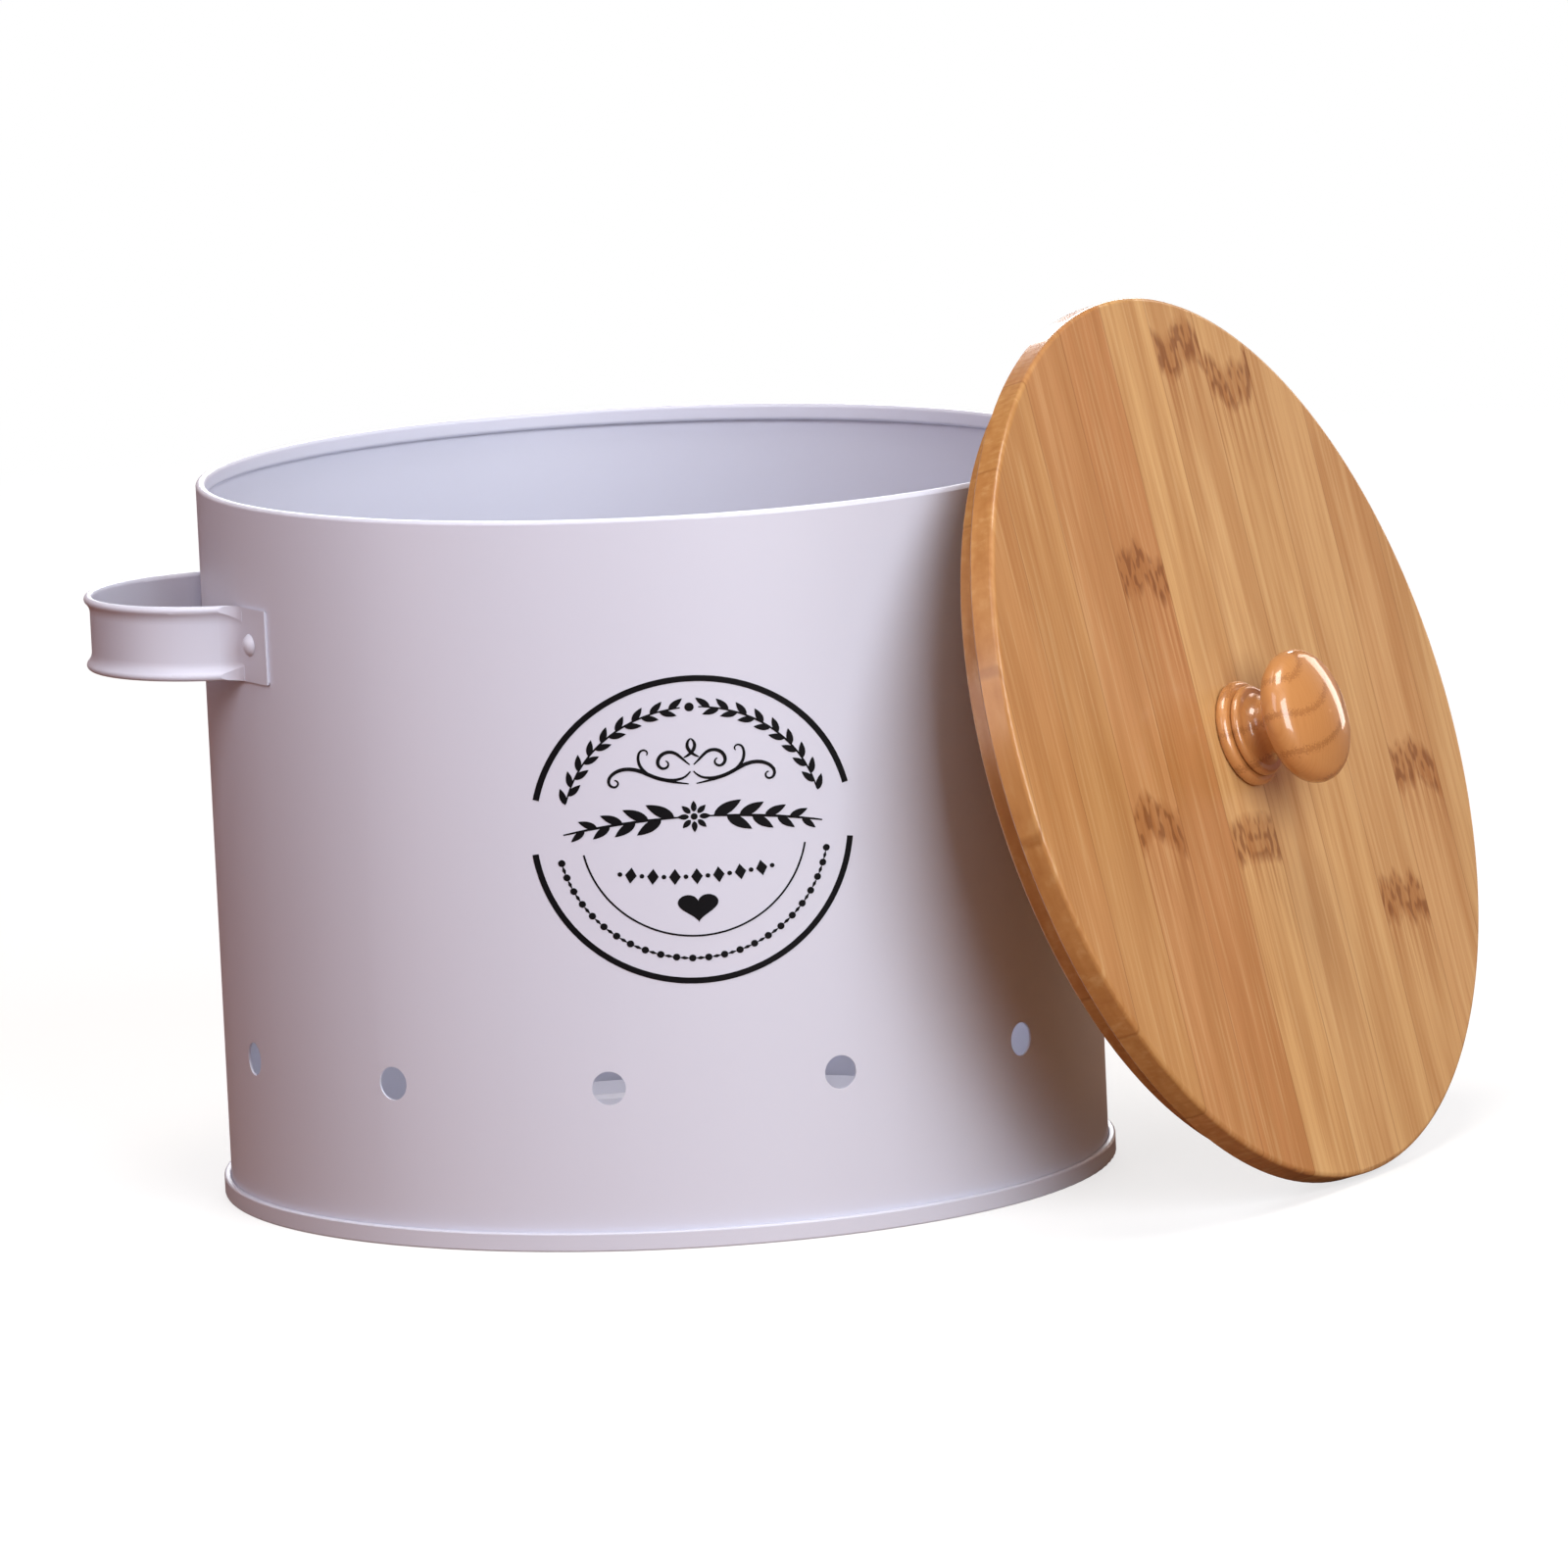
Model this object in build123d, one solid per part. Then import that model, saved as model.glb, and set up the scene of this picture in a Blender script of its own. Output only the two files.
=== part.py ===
"""Round potato bin: powder-coated sheet steel, two riveted strap handles and a loose bamboo lid.

The origin is the centre of the bin's foot ring on the floor. +Z is up, the handles are at
+X and -X, and the front faces -Y. The lid is modelled about its own axis, as it lies on the
bin, and is then leaned against the right handle. Lengths are in millimetres, angles in degrees.
"""

from build123d import *
from math import atan2, ceil, cos, degrees, floor, pi, radians, sin, sqrt
import os

# ---------------------------------------------------------------- driving dimensions

# Bin wall
tub_diameter = 240.0      # outside of the wall
tub_height = 195.3        # floor to the top of the rolled rim
wall_gauge = 0.6          # sheet thickness of the wall
rim_curl_depth = 2.6      # how far the rolled rim reaches in from the outside of the wall
rim_curl_height = 4.7     # height of the band that the rolled rim shows inside
rim_round = 1.1           # outside radius of the rolled rim's corners
rim_curl_gap = 0.3        # the sheet's free edge stops this far from the wall
lap_width = 5.0           # the upright lap where the wall's two ends meet, at the back
lap_rise = 0.5            # how far the lap stands out of the wall
lap_margin = 1.5          # the lap stops this far from the rim and from the bottom seam

vent_count = 12           # round vent holes in one row
vent_diameter = 9.0
vent_height = 43.6        # floor to the centres of the vents
vent_phase = 15.0         # from the handle axis to the first vent

# Bottom disc and its double seam
base_gauge = 0.6          # sheet thickness of the bottom disc
base_recess = 4.2         # floor to the underside of the disc
base_bend = 1.5           # inside radius between the disc and its upright edge
bead_radius = 92.0        # pressed stiffening ring in the disc
bead_width = 8.0
bead_rise = 1.2
seam_height = 5.0         # height of the seam that stands out round the foot
seam_round = 0.5          # outside radius of the seam's edges
hook_overlap = 2.4        # how far the two folded hooks grip each other
layer_gap = 0.05          # paint and air between the folded layers

# Strap handles
strap_gauge = 0.8         # sheet thickness of the web
strap_height = 20.2       # over the rolled edges
strap_drop = 37.5         # top of the rim down to the middle of the strap
strap_bead = 2.3          # thickness of the rolled edges
strap_flare = 4.0         # radius of the hollow between a rolled edge and the web
strap_reach = 30.1        # wall to the inner face of the bow
strap_bow = 34.5          # inner radius of the bow
strap_splay = 8.0         # how far each leg opens towards the wall
strap_root = 8.0          # inner radius where the strap leaves the wall
edge_rest = 0.1           # what still stands out of the rolled edges at the root's wall end
tab_length = 12.4         # from there to the end of the tab, along the wall
rivet_setback = 8.6       # from the end of the tab to the rivet, along the wall

# Rivets
rivet_shank = 3.2         # diameter
rivet_play = 0.05         # radial play in the holes, and under both heads
rivet_head = 6.0          # diameter of the domed head outside
rivet_dome = 1.7          # height of the dome
rivet_tail = 5.0          # diameter of the closed end inside
rivet_tail_depth = 0.9

# Lid
lid_overhang = 2.3        # the lid's edge stands this far outside the wall
lid_thickness = 15.5      # over the rebate
lid_rebate_depth = 8.0    # height of the part that drops into the mouth
mouth_clearance = 2.5     # radial clearance of that part in the mouth
lid_top_round = 1.3       # round-over of the top edge
lid_edge_ease = 0.6       # small bevels of the lower edges
strip_width = 25.0        # width of one bamboo strip
middle_joint = -20.1      # the glue joint just left of the lid's middle
narrowest_strip = 6.0     # a strip narrower than this stays joined to the next one

# Knob, with heights from the lid's top face
knob_foot_diameter = 29.0
knob_foot_height = 3.5
knob_step_diameter = 25.0
knob_step_height = 2.6
knob_bead_ease = 1.2      # how far the foot's two rounded rings draw in at their edges
knob_hollow_foot = 20.0   # diameter at the lower end of the hollow neck
knob_neck_diameter = 15.0
knob_hollow_top = 18.0    # diameter at the upper end of the hollow neck
knob_head_diameter = 36.8
knob_head_thickness = 15.4
knob_head_side = 5.0      # radius of the head's side in section
knob_head_middle = 20.0   # lid face to the widest part of the head

# Knob screw
screw_diameter = 4.0
screw_length = 25.0       # underside of the lid to the tip
screw_point = 3.0         # length of the pointed tip
screw_head = 8.0          # diameter of the countersunk head
screw_sink = 0.4          # the head lies this far inside the lid's underside
screw_play = 0.15         # radial play in the lid
pilot_spare = 2.0         # the knob's hole is this much deeper than the screw
drive_slot = 0.9          # width of the cross recess's arms
drive_span = 4.4          # across the cross recess
drive_depth = 1.4

# How the lid leans on the right handle
lean_tilt = 16.65         # the lid's lean from upright
lean_heading = -37.05     # compass direction of its top face, from +X
lean_shift = 36.4         # sideways offset of its middle from the bin's axis
lean_turn = -6.6          # turn of the grain from upright
lean_clearance = 2.5      # between the lid and what it leans on
floor_clearance = 0.1     # between the lid and the floor

# ---------------------------------------------------------------- radii and heights that follow

wall_outer = tub_diameter / 2
wall_inner = wall_outer - wall_gauge
mouth_radius = wall_outer - rim_curl_depth
rim_low = tub_height - rim_curl_height

# The seam's layers, from the inside out: upright edge, wall, cover hook, body hook, outer edge
upright_outer = wall_inner - layer_gap
upright_inner = upright_outer - base_gauge
cover_hook_inner = wall_outer + layer_gap
cover_hook_outer = cover_hook_inner + base_gauge
body_hook_inner = cover_hook_outer + layer_gap
body_hook_outer = body_hook_inner + wall_gauge
seam_inner = body_hook_outer + layer_gap
seam_outer = seam_inner + base_gauge

wall_foot = base_gauge + layer_gap
body_hook_top = seam_height - base_gauge - layer_gap
cover_hook_foot = body_hook_top - hook_overlap
disc_top = base_recess + base_gauge

strap_outer = wall_outer + strap_gauge
strap_middle = tub_height - strap_drop

lid_radius = wall_outer + lid_overhang
plug_radius = mouth_radius - mouth_clearance
board_thickness = lid_thickness - lid_rebate_depth
lid_underside = -lid_rebate_depth

# The knob's head is an oval of arcs: a wide crown above and below, smoothly joined at the side
head_half = knob_head_thickness / 2
side_centre = (knob_head_diameter / 2 - knob_head_side, knob_head_middle)
crown_radius = (side_centre[0] ** 2 + head_half**2 - knob_head_side**2) / (
    2 * (head_half - knob_head_side)
)
crown_centre = (0, knob_head_middle + head_half - crown_radius)

screw_top = lid_underside + screw_length

CUT_PAST = 10.0           # how far a cutting tool runs past what it cuts


# ---------------------------------------------------------------- helpers


def turned(section):
    """The solid of a half section (X is the radius, Y the height) turned about the Z axis."""
    return revolve(Plane.XZ * section, Axis.Z, 360)


def band(inner, outer, low, high):
    """A half section's rectangle, between two radii and two heights."""
    return Pos((inner + outer) / 2, (low + high) / 2) * Rectangle(outer - inner, high - low)


def nearest(section, corners):
    """The vertices of a half section that lie nearest to the given corners."""
    found = section.vertices()
    return [min(found, key=lambda v: (v.X - x) ** 2 + (v.Y - y) ** 2) for x, y in corners]


def rounded(section, radius, corners):
    """A half section with the given corners rounded."""
    return fillet(nearest(section, corners), radius)


def bevelled(section, size, corners):
    """A half section with the given corners cut off at 45 degrees."""
    return chamfer(nearest(section, corners), size)


def block(low, high):
    """A box between two opposite corners."""
    size = [b - a for a, b in zip(low, high)]
    middle = [(a + b) / 2 for a, b in zip(low, high)]
    return Pos(*middle) * Box(*size)


def outwards(angle, distance, height):
    """A place at a compass angle, whose local Z points straight away from the bin's axis."""
    return Rot(0, 0, angle) * Pos(distance, 0, height) * Rot(0, 90, 0)


def wall_hole(angle, height, diameter):
    """A bar that cuts a round hole through the wall and whatever lies on it."""
    length = 2 * CUT_PAST
    return outwards(angle, wall_outer, height) * Cylinder(diameter / 2, length)


def mirrored(point):
    """The same point on the other side of the X axis."""
    return (point[0], -point[1])


def at_angle(centre, radius, turn):
    """The point at a turn in radians round a centre."""
    return (centre[0] + radius * cos(turn), centre[1] + radius * sin(turn))


# ---------------------------------------------------------------- bin wall


def rim_section():
    """The rolled rim: the sheet turns in, runs down the inside and turns back to the wall."""
    outside = band(mouth_radius, wall_outer, rim_low, tub_height)
    outside = rounded(
        outside,
        rim_round,
        [(mouth_radius, rim_low), (mouth_radius, tub_height), (wall_outer, tub_height)],
    )
    inner, low, high = mouth_radius + wall_gauge, rim_low + wall_gauge, tub_height - wall_gauge
    hollow = band(inner, wall_inner, low, high)
    hollow = rounded(hollow, rim_round - wall_gauge, [(inner, low), (inner, high), (wall_inner, high)])
    free_edge = band(wall_inner - rim_curl_gap, wall_inner, rim_low, low)
    return outside - hollow - free_edge


def hook_section():
    """The wall's lower edge, turned out and up for the bottom disc to close over it."""
    foot = band(wall_inner, body_hook_outer, wall_foot, seam_height)
    foot = rounded(foot, wall_gauge, [(wall_inner, wall_foot), (body_hook_outer, wall_foot)])
    channel = band(wall_outer, body_hook_inner, wall_foot + wall_gauge, seam_height)
    above_hook = band(wall_outer, body_hook_outer, body_hook_top, seam_height)
    return foot - channel - above_hook


def lap():
    """The upright lap at the back, where the two ends of the rolled sheet are joined."""
    low, high = seam_height + lap_margin, rim_low - lap_margin
    sheet = turned(band(wall_inner, wall_outer + lap_rise, low, high))
    return sheet & block((-lap_width / 2, 0, low), (lap_width / 2, wall_outer + CUT_PAST, high))


def vents():
    pitch = 360 / vent_count
    return [wall_hole(vent_phase + i * pitch, vent_height, vent_diameter) for i in range(vent_count)]


def make_tub_wall():
    straight = band(wall_inner, wall_outer, seam_height, rim_low)
    sheet = turned(rim_section() + straight + hook_section()) + lap()
    return sheet - vents() - rivet_holes()


# ---------------------------------------------------------------- bottom disc


def ridge_section(height):
    """The pressed ring, as a low flat-topped ridge with sides at 45 degrees."""
    inner, outer = bead_radius - bead_width / 2, bead_radius + bead_width / 2
    top = height + bead_rise
    corners = [(inner, height), (inner + bead_rise, top), (outer - bead_rise, top), (outer, height)]
    return make_face(Polyline(*corners, close=True))


def make_tub_base():
    """The bottom disc, its upright edge, and the roll that grips the wall's hook."""
    disc = band(0, upright_outer, base_recess, disc_top)
    disc = disc + ridge_section(disc_top) - ridge_section(base_recess)
    upright = band(upright_inner, upright_outer, 0, disc_top)
    foot = band(upright_inner, seam_outer, 0, base_gauge)
    outer_edge = band(seam_inner, seam_outer, 0, seam_height)
    shoulder = band(cover_hook_inner, seam_outer, seam_height - base_gauge, seam_height)
    cover_hook = band(cover_hook_inner, cover_hook_outer, cover_hook_foot, seam_height)
    section = disc + upright + foot + outer_edge + shoulder + cover_hook
    section = rounded(section, base_bend, [(upright_inner, base_recess)])
    section = rounded(section, base_bend + base_gauge, [(upright_outer, disc_top)])
    edges = [(upright_inner, 0), (seam_outer, 0), (seam_outer, seam_height)]
    section = rounded(section, seam_round, [*edges, (cover_hook_inner, seam_height)])
    return turned(section)


# ---------------------------------------------------------------- strap handles and rivets


def strap_section():
    """Across the strap: a flat web whose two long edges are rolled outwards as round beads.

    X is the distance from the inner face and Y the height from the strap's middle.
    """
    bead = strap_bead / 2
    bead_centre = (bead, strap_height / 2 - bead)
    across = strap_gauge + strap_flare - bead
    drop = sqrt((bead + strap_flare) ** 2 - across**2)
    hollow_centre = (strap_gauge + strap_flare, bead_centre[1] - drop)
    towards_hollow = atan2(-drop, across)
    inner_top = (0, bead_centre[1])
    crown = at_angle(bead_centre, bead, (pi + towards_hollow) / 2)
    touch = at_angle(bead_centre, bead, towards_hollow)
    hollow = at_angle(hollow_centre, strap_flare, pi + towards_hollow / 2)
    web_top = (strap_gauge, hollow_centre[1])
    return make_face(
        [
            Line(mirrored(inner_top), inner_top),
            ThreePointArc(inner_top, crown, touch),
            ThreePointArc(touch, hollow, web_top),
            Line(web_top, mirrored(web_top)),
            ThreePointArc(mirrored(web_top), mirrored(hollow), mirrored(touch)),
            ThreePointArc(mirrored(touch), mirrored(crown), mirrored(inner_top)),
        ]
    )


def strap_plan():
    """The right strap's inner face seen from above: the points of its back half, and its angles.

    The bow ends at a leg that opens by the splay. The root bend is tangent to the leg and to the
    wall, so its centre is found where both of these hold.
    """
    bow_centre = (wall_outer + strap_reach - strap_bow, 0)
    lean = radians(90 - strap_splay)
    offset = strap_bow + strap_root
    foot_x, foot_y = at_angle(bow_centre, offset, lean)
    along = (sin(lean), -cos(lean))
    mid = foot_x * along[0] + foot_y * along[1]
    rest = foot_x**2 + foot_y**2 - (wall_outer + strap_root) ** 2
    slide = -mid + sqrt(mid**2 - rest)
    root_centre = (foot_x + slide * along[0], foot_y + slide * along[1])
    root_angle = atan2(root_centre[1], root_centre[0])
    end_angle = root_angle + tab_length / wall_outer
    return {
        "root_centre": root_centre,
        "root_angle": root_angle,
        "root_bend": lean - root_angle,
        "bow_tip": at_angle(bow_centre, strap_bow, 0),
        "bow_end": at_angle(bow_centre, strap_bow, lean),
        "leg_end": at_angle(root_centre, -strap_root, lean),
        "bend": at_angle(root_centre, -strap_root, (lean + root_angle) / 2),
        "tab_start": at_angle((0, 0), wall_outer, root_angle),
        "tab_middle": at_angle((0, 0), wall_outer, (root_angle + end_angle) / 2),
        "tab_end": at_angle((0, 0), wall_outer, end_angle),
        "rivet_angle": degrees(end_angle - rivet_setback / wall_outer),
    }


def strap_path():
    """The whole inner face from the front tab's end to the back tab's end."""
    plan = strap_plan()
    tab_end, tab_middle, tab_start = plan["tab_end"], plan["tab_middle"], plan["tab_start"]
    bend, leg_end, bow_end = plan["bend"], plan["leg_end"], plan["bow_end"]
    return Wire(
        [
            ThreePointArc(mirrored(tab_end), mirrored(tab_middle), mirrored(tab_start)),
            ThreePointArc(mirrored(tab_start), mirrored(bend), mirrored(leg_end)),
            Line(mirrored(leg_end), mirrored(bow_end)),
            ThreePointArc(mirrored(bow_end), plan["bow_tip"], bow_end),
            Line(bow_end, leg_end),
            ThreePointArc(leg_end, bend, tab_start),
            ThreePointArc(tab_start, tab_middle, tab_end),
        ]
    )


def rivet_angles():
    """Compass angle of each rivet, by its name."""
    angle = strap_plan()["rivet_angle"]
    return {
        "rivet_right_back": angle,
        "rivet_right_front": -angle,
        "rivet_left_back": 180 - angle,
        "rivet_left_front": 180 + angle,
    }


def rivet_holes():
    diameter = rivet_shank + 2 * rivet_play
    return [wall_hole(angle, strap_middle, diameter) for angle in rivet_angles().values()]


def edge_cutters():
    """What takes the rolled edges off the back tab and thins them out along its root bend.

    Over the tab it is a ring outside the web. Along the bend it is an upright round bar, so placed
    that it leaves the whole edge at the leg and almost nothing of it where the tab begins.
    """
    plan = strap_plan()
    low, high = strap_middle - strap_height, strap_middle + strap_height
    ring = turned(band(strap_outer, strap_outer + CUT_PAST, low, high))
    past = (wall_outer + strap_reach, wall_outer + strap_reach, high)
    over_tab = ring & Rot(0, 0, degrees(plan["root_angle"])) * block((0, 0, low), past)
    at_tab = strap_root - strap_gauge - edge_rest
    at_leg = strap_root - strap_bead
    inset = (at_tab**2 - at_leg**2) / (2 * (at_tab - at_leg * cos(plan["root_bend"])))
    bar_x, bar_y = at_angle(plan["root_centre"], -inset, plan["root_angle"])
    bar = Pos(bar_x, bar_y, strap_middle) * Cylinder(at_tab - inset, high - low)
    return [over_tab, bar]


def make_handle_right():
    path = strap_path()
    start = path.position_at(0)
    across = Plane(origin=start, x_dir=start, z_dir=path.tangent_at(0))
    strap = Pos(0, 0, strap_middle) * sweep(across * strap_section(), path=path)
    back_cutters = edge_cutters()
    front_cutters = [mirror(cutter, about=Plane.XZ) for cutter in back_cutters]
    return strap - back_cutters - front_cutters - rivet_holes()


def make_rivet(angle):
    """A domed head on the strap, a shank through strap and wall, and a closed end inside."""
    head, shank, tail = rivet_head / 2, rivet_shank / 2, rivet_tail / 2
    dome_radius = (head**2 + rivet_dome**2) / (2 * rivet_dome)
    dome_centre = (0, rivet_play + rivet_dome - dome_radius)
    edge_turn = atan2(dome_radius - rivet_dome, head)
    dome_middle = at_angle(dome_centre, dome_radius, (edge_turn + pi / 2) / 2)
    inside = -strap_gauge - wall_gauge - rivet_play
    dome = make_face(
        [
            Line((0, rivet_play), (head, rivet_play)),
            ThreePointArc((head, rivet_play), dome_middle, (0, rivet_play + rivet_dome)),
            Line((0, rivet_play + rivet_dome), (0, rivet_play)),
        ]
    )
    stem = band(0, shank, inside, rivet_play)
    closed = band(0, tail, inside - rivet_tail_depth, inside)
    closed = rounded(closed, rivet_tail_depth / 2, [(tail, inside - rivet_tail_depth)])
    return outwards(angle, strap_outer, strap_middle) * turned(dome + stem + closed)


# ---------------------------------------------------------------- lid, closed, about its own axis


def screw_section(play):
    """Half of the screw, head down. With play, it is the countersunk hole that the screw fills."""
    head, shank = screw_head / 2, screw_diameter / 2 + play
    face, tip = lid_underside + screw_sink, screw_top + play
    corners = [(0, face), (head, face), (shank, face + head - shank), (shank, tip - screw_point)]
    return make_face(Polyline(*corners, (0, tip), close=True))


def lid_blank():
    """The whole lid as one disc: a board that covers the rim and a plug that fits the mouth."""
    board = band(0, lid_radius, 0, board_thickness)
    board = rounded(board, lid_top_round, [(lid_radius, board_thickness)])
    board = bevelled(board, lid_edge_ease, [(lid_radius, 0)])
    plug = band(0, plug_radius, lid_underside, 0)
    plug = bevelled(plug, lid_edge_ease, [(plug_radius, lid_underside)])
    sunk = band(0, screw_head / 2, lid_underside, lid_underside + screw_sink)
    return turned(board + plug - sunk - screw_section(screw_play))


def strip_name(number):
    """Strips are counted outwards, so that each keeps its name when a wider lid gains more."""
    if number == 0:
        return "lid_strip_middle"
    side = "left" if number < 0 else "right"
    return f"lid_strip_{side}_{abs(number)}"


def make_lid_strips():
    """The disc parted along its glue joints, with the grain along Y."""
    reach = lid_radius - narrowest_strip
    first = ceil((-reach - middle_joint) / strip_width)
    last = floor((reach - middle_joint) / strip_width)
    past = lid_radius + CUT_PAST
    blank = lid_blank()
    strips = {}
    for number in range(first - 1, last + 1):
        left = -past if number < first else middle_joint + number * strip_width
        right = past if number == last else middle_joint + (number + 1) * strip_width
        slab = block((left, -past, -lid_thickness), (right, past, lid_thickness))
        strips[strip_name(number)] = blank & slab
    return strips


def ring_bead(radius, low, high):
    """One rounded ring of the knob's foot, as a half section down to the axis."""
    edge = radius - knob_bead_ease
    return make_face(
        [
            Line((0, low), (edge, low)),
            ThreePointArc((edge, low), (radius, (low + high) / 2), (edge, high)),
            Line((edge, high), (0, high)),
            Line((0, high), (0, low)),
        ]
    )


def neck_section(low):
    """The hollow neck's half section, from the foot's top up into the middle of the head."""
    top_x = knob_hollow_top / 2
    top_y = 2 * knob_head_middle - crown_centre[1] - sqrt(crown_radius**2 - top_x**2)
    foot, top = (knob_hollow_foot / 2, low), (top_x, top_y)
    narrow = (knob_neck_diameter / 2, (low + top_y) / 2)
    middle = (0, knob_head_middle)
    return make_face(
        [
            Line((0, low), foot),
            ThreePointArc(foot, narrow, top),
            Line(top, middle),
            Line(middle, (0, low)),
        ]
    )


def head_section():
    """Half of the head's oval section."""
    turn = atan2(side_centre[1] - crown_centre[1], side_centre[0])
    peak = (0, knob_head_middle + head_half)
    crown = at_angle(crown_centre, crown_radius, (turn + pi / 2) / 2)
    joint = at_angle(side_centre, knob_head_side, turn)
    side = (knob_head_diameter / 2, knob_head_middle)
    low_peak, low_crown, low_joint = [(x, 2 * knob_head_middle - y) for x, y in (peak, crown, joint)]
    return make_face(
        [
            ThreePointArc(peak, crown, joint),
            ThreePointArc(joint, side, low_joint),
            ThreePointArc(low_joint, low_crown, low_peak),
            Line(low_peak, peak),
        ]
    )


def make_lid_knob():
    """A turned knob: a foot of two rounded rings, a hollow neck and a flattened round head."""
    foot_top = knob_foot_height
    step_top = foot_top + knob_step_height
    foot = ring_bead(knob_foot_diameter / 2, 0, foot_top)
    step = ring_bead(knob_step_diameter / 2, foot_top, step_top)
    pilot = band(0, screw_diameter / 2, 0, screw_top + pilot_spare - board_thickness)
    section = foot + step + neck_section(step_top) + head_section() - pilot
    return Pos(0, 0, board_thickness) * turned(section)


def make_knob_screw():
    """The countersunk screw, with a cross recess in its head."""
    low, high = lid_underside, lid_underside + screw_sink + drive_depth
    arm, half_slot = drive_span / 2, drive_slot / 2
    across = block((-arm, -half_slot, low), (arm, half_slot, high))
    return turned(screw_section(0)) - across - Rot(0, 0, 90) * across


# ---------------------------------------------------------------- the lid's place against the bin


def lean_place(leaned_on):
    """Where the closed lid goes: leaning, just clear of the bin, with its edge just off the floor."""
    heading, tilt = radians(lean_heading), radians(lean_tilt)
    facing = Vector(cos(heading) * cos(tilt), sin(heading) * cos(tilt), sin(tilt))
    sideways = Vector(-sin(heading), cos(heading), 0)
    leaned = Plane(origin=(0, 0, 0), x_dir=sideways, z_dir=facing)
    reach = max(leaned.to_local_coords(piece).bounding_box().max.Z for piece in leaned_on)
    place = leaned.location * Pos(lean_shift, 0, reach + lean_clearance - lid_underside)
    lowest = (place * lid_blank()).bounding_box().min.Z
    lift = (floor_clearance - lowest) / cos(tilt)
    return place * Pos(0, lift, 0) * Rot(0, 0, lean_turn)


# ---------------------------------------------------------------- every piece, by its name

tub = {"tub_wall": make_tub_wall(), "tub_base": make_tub_base()}
tub["handle_right"] = make_handle_right()
tub["handle_left"] = Rot(0, 0, 180) * tub["handle_right"]
for name, angle in rivet_angles().items():
    tub[name] = make_rivet(angle)

lid = make_lid_strips()
lid["lid_knob"] = make_lid_knob()
lid["knob_screw"] = make_knob_screw()
lid_place = lean_place([tub["tub_wall"], tub["handle_right"], tub["rivet_right_front"]])

os.makedirs("parts", exist_ok=True)
for name, piece in tub.items():
    export_step(piece, f"parts/{name}.step")
for name, piece in lid.items():
    export_step(lid_place * piece, f"parts/{name}.step")

print("pieces", len(tub) + len(lid))
print("lid middle", lid_place.position, "turned", lid_place.orientation)
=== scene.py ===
# %% [markdown]
# # A potato bin with a leaning bamboo lid
# The object is a round kitchen bin: powder-coated sheet steel, two riveted strap handles, a row
# of vent holes and a screen-printed emblem. Its lid is a disc of edge-glued bamboo strips with a
# turned and varnished knob. Every solid part comes from the CAD model, so this lesson is about
# what the eye adds to it: paint, bamboo, varnish, ink, light and a camera.

from math import asin, ceil, cos, degrees, pi, radians, sin

import bmesh
import bpy
from mathutils import Matrix, Vector


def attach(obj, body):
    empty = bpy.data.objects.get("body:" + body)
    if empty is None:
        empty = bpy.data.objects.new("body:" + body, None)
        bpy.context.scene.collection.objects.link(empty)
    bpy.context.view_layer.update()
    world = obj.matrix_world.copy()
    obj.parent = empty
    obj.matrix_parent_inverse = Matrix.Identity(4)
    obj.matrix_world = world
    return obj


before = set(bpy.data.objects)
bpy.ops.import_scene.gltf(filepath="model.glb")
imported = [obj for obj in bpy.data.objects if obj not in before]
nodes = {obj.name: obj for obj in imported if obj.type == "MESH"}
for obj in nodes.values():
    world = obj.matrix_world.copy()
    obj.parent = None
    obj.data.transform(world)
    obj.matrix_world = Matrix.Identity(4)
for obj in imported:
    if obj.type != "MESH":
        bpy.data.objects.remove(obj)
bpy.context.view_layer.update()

# %% [markdown]
# Blender works in metres, but a kitchen bin is easier to think about in millimetres, so sizes are
# written in millimetres and multiplied by MM. Colours are written as the sRGB hex values that a
# paint chart would give. Blender's shaders want linear light, so one function converts them.

# %% Units and colours
MM = 0.001


def srgb(hex_colour):
    """Linear RGBA of a colour written like C8CAD8."""
    parts = [int(hex_colour[i : i + 2], 16) / 255 for i in (0, 2, 4)]
    linear = [c / 12.92 if c <= 0.04045 else ((c + 0.055) / 1.055) ** 2.4 for c in parts]
    return (*linear, 1.0)


print("pale lilac in linear light:", [round(c, 3) for c in srgb("C8CAD8")])

# %% [markdown]
# A material could be clicked together in the node editor. Written as calls of one small function,
# it reads like a sum: each call adds a node and takes the outputs of others. Two sums come back
# often, so they have names: a ramp, which stretches one range of values to another, and a tint,
# which lays one colour over another.


# %% Node helpers
def add(tree, kind, inputs=None, **settings):
    """Adds one node. The settings are its properties, and inputs maps each socket to a value or
    to the output that feeds it."""
    made = tree.nodes.new(kind)
    for name, value in settings.items():
        setattr(made, name, value)
    for name, value in (inputs or {}).items():
        if isinstance(value, bpy.types.NodeSocket):
            tree.links.new(value, made.inputs[name])
        else:
            made.inputs[name].default_value = value
    return made


def ramp(tree, value, low, high, to_low=0.0, to_high=1.0):
    """Turns a value between low and high into one between to_low and to_high."""
    sockets = {"Value": value, "From Min": low, "From Max": high, "To Min": to_low, "To Max": to_high}
    return add(tree, "ShaderNodeMapRange", sockets).outputs[0]


def tint(tree, share, colour, other, how="MIX"):
    """Lays another colour over the first, by a share between 0 and 1."""
    sockets = {0: share, 6: colour, 7: other}
    return add(tree, "ShaderNodeMix", sockets, data_type="RGBA", blend_type=how).outputs[2]


def new_material(name):
    """A material with an empty node tree but for its output. Returns it and its tree."""
    material = bpy.data.materials.new(name)
    material.use_nodes = True
    material.node_tree.nodes.clear()
    add(material.node_tree, "ShaderNodeOutputMaterial")
    return material, material.node_tree


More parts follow.
